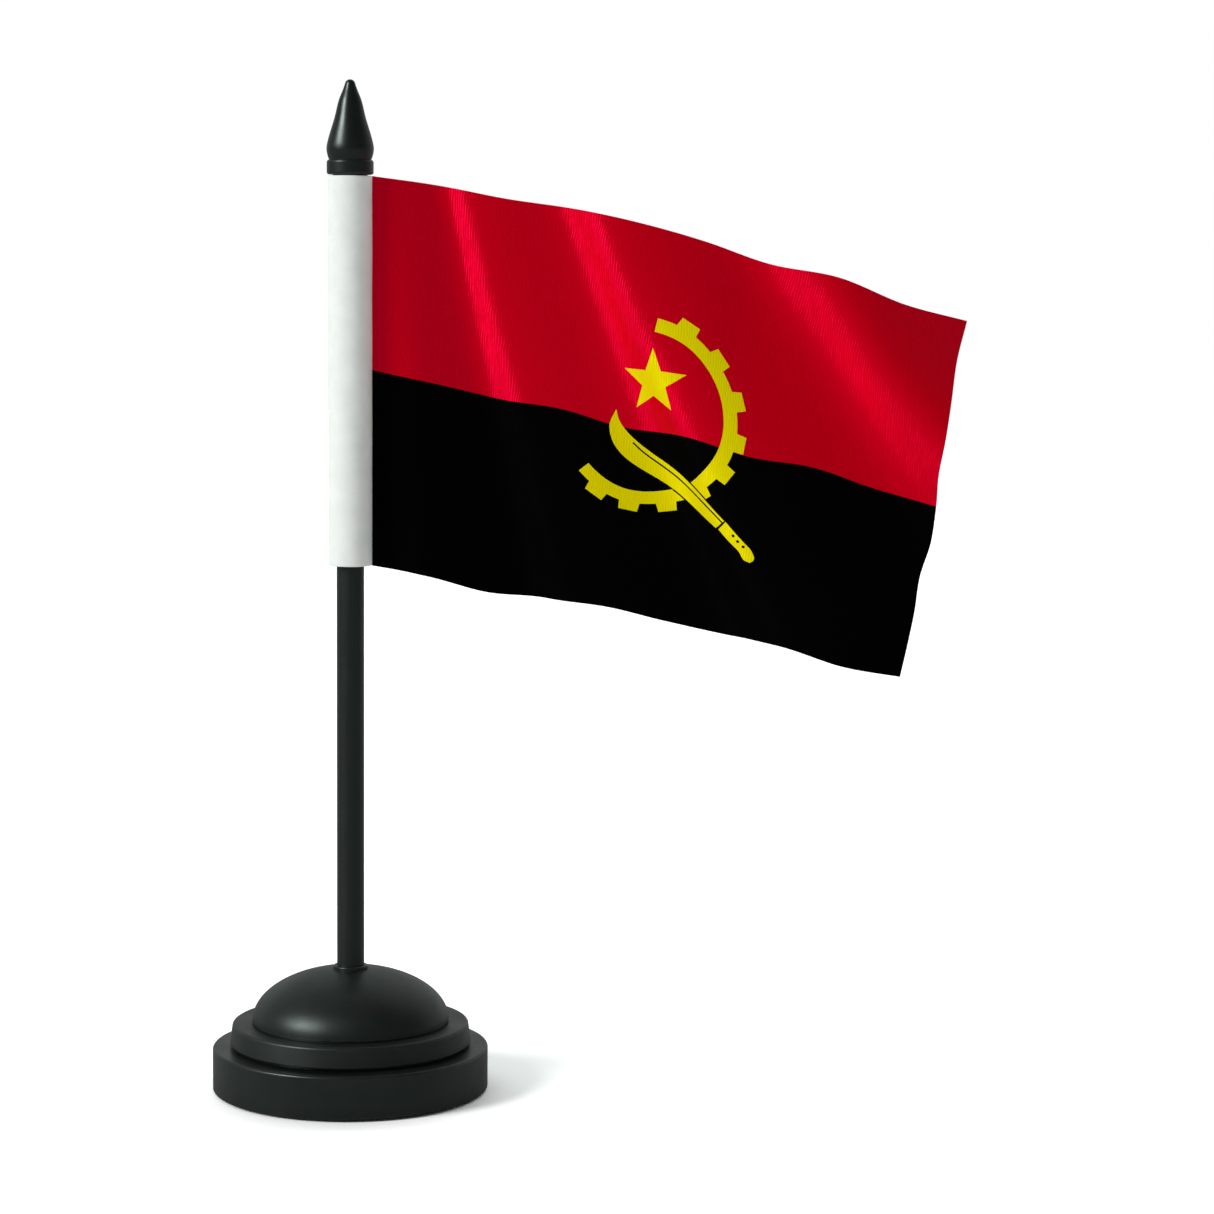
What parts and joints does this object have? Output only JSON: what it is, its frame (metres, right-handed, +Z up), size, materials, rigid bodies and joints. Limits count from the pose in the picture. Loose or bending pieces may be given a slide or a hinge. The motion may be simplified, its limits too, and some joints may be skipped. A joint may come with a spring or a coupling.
{
  "type": "desk flag stand",
  "caption": "Desk flag stand: a stepped round weighted base with a dome, a slim black pole with a spear finial, and a small waving cloth flag on a white sleeve that turns round the pole.",
  "frame": {"origin": "middle of the foam pad's underside, on the table, on the pole's axis", "axes": "+Z up along the pole to the finial, +X from the pole towards the flag's fly end, Y across the flag's waves"},
  "size_m": [0.1955, 0.072, 0.2625],
  "materials": {
    "foot_plastic": "satin moulded black polystyrene",
    "cover_plastic": "satin moulded black polystyrene",
    "ferrule_plastic": "satin moulded black plastic",
    "pole_plastic": "satin extruded black plastic tube",
    "finial_plastic": "satin moulded black plastic",
    "collar_plastic": "satin moulded black plastic",
    "plate_plastic": "matt moulded black plastic",
    "ballast_steel": "bare blanked steel",
    "screw_steel": "zinc plated steel",
    "pad_foam": "matt closed-cell foam",
    "liner_plastic": "white extruded plastic",
    "bush_plastic": "natural acetal",
    "sleeve_fabric": "white woven polyester, satin",
    "flag_fabric": "printed satin polyester in red, black and yellow"
  },
  "bodies": {
    "base": {"foot_pad": "pad_foam", "base_plate": "plate_plastic", "ballast_plate": "ballast_steel", "foot_shell": "foot_plastic", "dome_cover": "cover_plastic", "base_screws": "screw_steel"},
    "ferrule": {"pole_ferrule": "ferrule_plastic"},
    "pole": {"pole_tube": "pole_plastic", "sleeve_stop_collar": "collar_plastic"},
    "flag": {"liner_bush": "bush_plastic", "sleeve_liner": "liner_plastic", "flag_sleeve": "sleeve_fabric", "flag_cloth": "flag_fabric"},
    "finial": {"finial": "finial_plastic"}
  },
  "joints": [
    {"name": "pole_turn", "type": "hinge", "parent": "base", "child": "ferrule", "pos_m": [0, 0, 0.025], "axis": [0, 0, 1], "continuous": true},
    {"name": "pole_lift", "type": "slide", "parent": "ferrule", "child": "pole", "axis": [0, 0, 1], "range_m": [0, 0.03]},
    {"name": "flag_swing", "type": "hinge", "parent": "pole", "child": "flag", "pos_m": [0, 0, 0.188], "axis": [0, 0, 1], "continuous": true},
    {"name": "finial_pull", "type": "slide", "parent": "pole", "child": "finial", "axis": [0, 0, 1], "range_m": [0, 0.014]}
  ]
}
